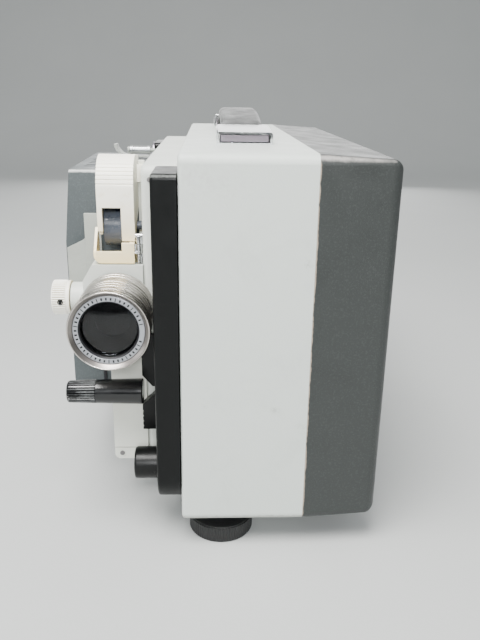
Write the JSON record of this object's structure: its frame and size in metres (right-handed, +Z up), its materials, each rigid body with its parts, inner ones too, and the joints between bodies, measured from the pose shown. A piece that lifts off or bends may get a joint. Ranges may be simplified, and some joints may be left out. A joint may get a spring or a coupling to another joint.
{
  "type": "film projector",
  "caption": "Portable film projector: two-tone upright case, lens and film gate on one side, folding reel arms, focus knob, levers, lamp house, screw foot and carrying strap.",
  "frame": {"origin": "under the middle of the outline, on the surface the feet stand on", "axes": "+Z up, the lens looks along -Y, the film side with the lens and levers faces -X"},
  "size_m": [0.1854, 0.275, 0.2382],
  "materials": {
    "case_paint": "satin",
    "cover_dark": "fine texture",
    "housing_paint": "satin",
    "black_plastic": "satin",
    "cream_plastic": "moulded",
    "lamp_house_paint": "hammered satin",
    "lens_metal": "turned",
    "lens_glass": "coated",
    "chrome": "polished",
    "sheet_metal": "brushed",
    "steel": "machined",
    "rubber": "matte",
    "core_steel": "laminated",
    "coil_wrap": "wound",
    "ceramic": "ceramic",
    "strap_black": "glossy moulded"
  },
  "bodies": {
    "projector": {"case_shell": "case_paint", "side_cover": "cover_dark", "side_cover_screws": "steel", "rear_feet": "rubber", "chassis_plate": "sheet_metal", "motor_body": "steel", "drive_belt": "rubber", "sprocket_band": "rubber", "transformer_core": "core_steel", "transformer_coil": "coil_wrap", "mains_inlet": "black_plastic", "mechanism_housing": "housing_paint", "lower_cover": "housing_paint", "lower_trim": "housing_paint", "housing_screws": "steel", "lens_holder": "housing_paint", "hinge_plate": "black_plastic", "gate_plate": "sheet_metal", "light_shield": "sheet_metal", "film_guide": "cream_plastic", "guide_pin": "chrome", "rear_guide_lip": "sheet_metal", "lamp_reflector": "chrome", "lamp_bulb": "lens_glass", "lamp_socket": "ceramic", "focus_bush": "lens_metal", "arm_pivots": "chrome", "foot_bush": "steel", "handle_brackets": "chrome", "handle_strap": "strap_black", "handle_tongues": "steel"},
    "front_arm": {"front_arm": "black_plastic"},
    "front_spindle_hub": {"front_spindle_hub": "black_plastic"},
    "front_spindle_core": {"front_spindle_core": "chrome"},
    "rear_arm": {"rear_arm": "black_plastic"},
    "rear_spindle": {"rear_spindle": "black_plastic"},
    "focus_knob": {"focus_knob": "cream_plastic", "focus_set_screw": "steel"},
    "lens": {"lens_barrel": "lens_metal", "lens_name_ring": "lens_metal", "lens_glasses": "lens_glass"},
    "zoom_ring": {"zoom_ring": "lens_metal"},
    "control_lever": {"control_lever": "black_plastic"},
    "thumb_lever": {"thumb_lever": "black_plastic"},
    "guide_shoe": {"guide_shoe": "cream_plastic", "shoe_hinge": "chrome"},
    "upper_sprocket": {"upper_sprocket": "black_plastic"},
    "lower_sprocket": {"lower_sprocket": "black_plastic"},
    "worm_wheel": {"worm_wheel": "cream_plastic"},
    "main_shaft": {"main_shaft": "steel", "shutter_disc": "black_plastic"},
    "motor": {"motor_shaft": "steel", "cooling_fan": "black_plastic"},
    "pressure_plate": {"pressure_plate": "chrome"},
    "claw": {"claw_arm": "steel"},
    "lamp_house_cover": {"lamp_house_cover": "lamp_house_paint"},
    "rear_roller": {"rear_guide_roller": "sheet_metal"},
    "front_foot": {"front_foot": "black_plastic", "front_foot_screw": "steel"}
  },
  "joints": [
    {"name": "front_arm_swing", "type": "hinge", "parent": "projector", "child": "front_arm", "pos_m": [-0.02525, -0.1185, 0.2], "axis": [-1, 0, 0], "range_deg": [0, 135]},
    {"name": "front_spindle_spin", "type": "hinge", "parent": "front_arm", "child": "front_spindle_hub", "pos_m": [-0.03825, -0.1185, 0.0448], "axis": [-1, 0, 0], "continuous": true},
    {"name": "front_spindle_slide", "type": "slide", "parent": "front_spindle_hub", "child": "front_spindle_core", "axis": [-1, 0, 0], "range_m": [0, 0.016]},
    {"name": "rear_arm_swing", "type": "hinge", "parent": "projector", "child": "rear_arm", "pos_m": [-0.04425, 0.1135, 0.2], "axis": [1, 0, 0], "range_deg": [0, 135]},
    {"name": "rear_spindle_spin", "type": "hinge", "parent": "rear_arm", "child": "rear_spindle", "pos_m": [-0.05425, 0.1135, 0.0448], "axis": [-1, 0, 0], "continuous": true},
    {"name": "focus_turn", "type": "hinge", "parent": "projector", "child": "focus_knob", "pos_m": [-0.08325, -0.0855, 0.1347], "axis": [1, 0, 0], "range_deg": [0, 180]},
    {"name": "lens_focus", "type": "slide", "parent": "projector", "child": "lens", "axis": [0, -1, 0], "range_m": [0, 0.005]},
    {"name": "zoom_turn", "type": "hinge", "parent": "lens", "child": "zoom_ring", "pos_m": [-0.05465, -0.1205, 0.132], "axis": [0, -1, 0], "range_deg": [0, 70]},
    {"name": "control_lever_turn", "type": "hinge", "parent": "projector", "child": "control_lever", "pos_m": [-0.04825, -0.0975, 0.0835], "axis": [0, -1, 0], "range_deg": [-25, 25]},
    {"name": "thumb_lever_slide", "type": "slide", "parent": "projector", "child": "thumb_lever", "axis": [0, 0, -1], "range_m": [0, 0.009]},
    {"name": "shoe_open", "type": "hinge", "parent": "projector", "child": "guide_shoe", "pos_m": [-0.04235, -0.0911, 0.165], "axis": [0, 0, 1], "range_deg": [0, 80]},
    {"name": "motor_spin", "type": "hinge", "parent": "projector", "child": "motor", "pos_m": [0.02175, 0.0625, 0.097], "axis": [0, 1, 0], "continuous": true},
    {"name": "main_shaft_spin", "type": "hinge", "parent": "projector", "child": "main_shaft", "pos_m": [-0.02925, -0.0175, 0.132], "axis": [0, 1, 0], "continuous": true},
    {"name": "worm_wheel_spin", "type": "hinge", "parent": "projector", "child": "worm_wheel", "pos_m": [-0.02925, -0.0275, 0.1465], "axis": [1, 0, 0], "continuous": true},
    {"name": "upper_sprocket_spin", "type": "hinge", "parent": "projector", "child": "upper_sprocket", "pos_m": [-0.03825, -0.0735, 0.175], "axis": [1, 0, 0], "continuous": true},
    {"name": "lower_sprocket_spin", "type": "hinge", "parent": "projector", "child": "lower_sprocket", "pos_m": [-0.03825, -0.0755, 0.089], "axis": [1, 0, 0], "continuous": true},
    {"name": "pressure_plate_open", "type": "slide", "parent": "projector", "child": "pressure_plate", "axis": [0, -1, 0], "range_m": [0, 0.0015], "stiffness_N_per_m": 400, "springref_m": -0.002},
    {"name": "claw_pull_down", "type": "slide", "parent": "projector", "child": "claw", "axis": [0, 0, -1], "range_m": [0, 0.0042]},
    {"name": "lamp_house_open", "type": "hinge", "parent": "projector", "child": "lamp_house_cover", "pos_m": [-0.04205, 0.05, 0.137], "axis": [0, 0, -1], "range_deg": [0, 60]},
    {"name": "rear_roller_spin", "type": "hinge", "parent": "projector", "child": "rear_roller", "pos_m": [-0.04925, 0.0125, 0.2101], "axis": [1, 0, 0], "continuous": true},
    {"name": "front_foot_extend", "type": "slide", "parent": "projector", "child": "front_foot", "axis": [0, 0, -1], "range_m": [0, 0.012]}
  ],
  "couplings": [
    {"joint": "focus_turn", "follows": "lens_focus", "rad_per_m": 628},
    {"joint": "main_shaft_spin", "follows": "motor_spin", "ratio": 0.7778},
    {"joint": "worm_wheel_spin", "follows": "motor_spin", "ratio": -0.03241},
    {"joint": "upper_sprocket_spin", "follows": "motor_spin", "ratio": -0.03241},
    {"joint": "lower_sprocket_spin", "follows": "motor_spin", "ratio": -0.03241}
  ]
}
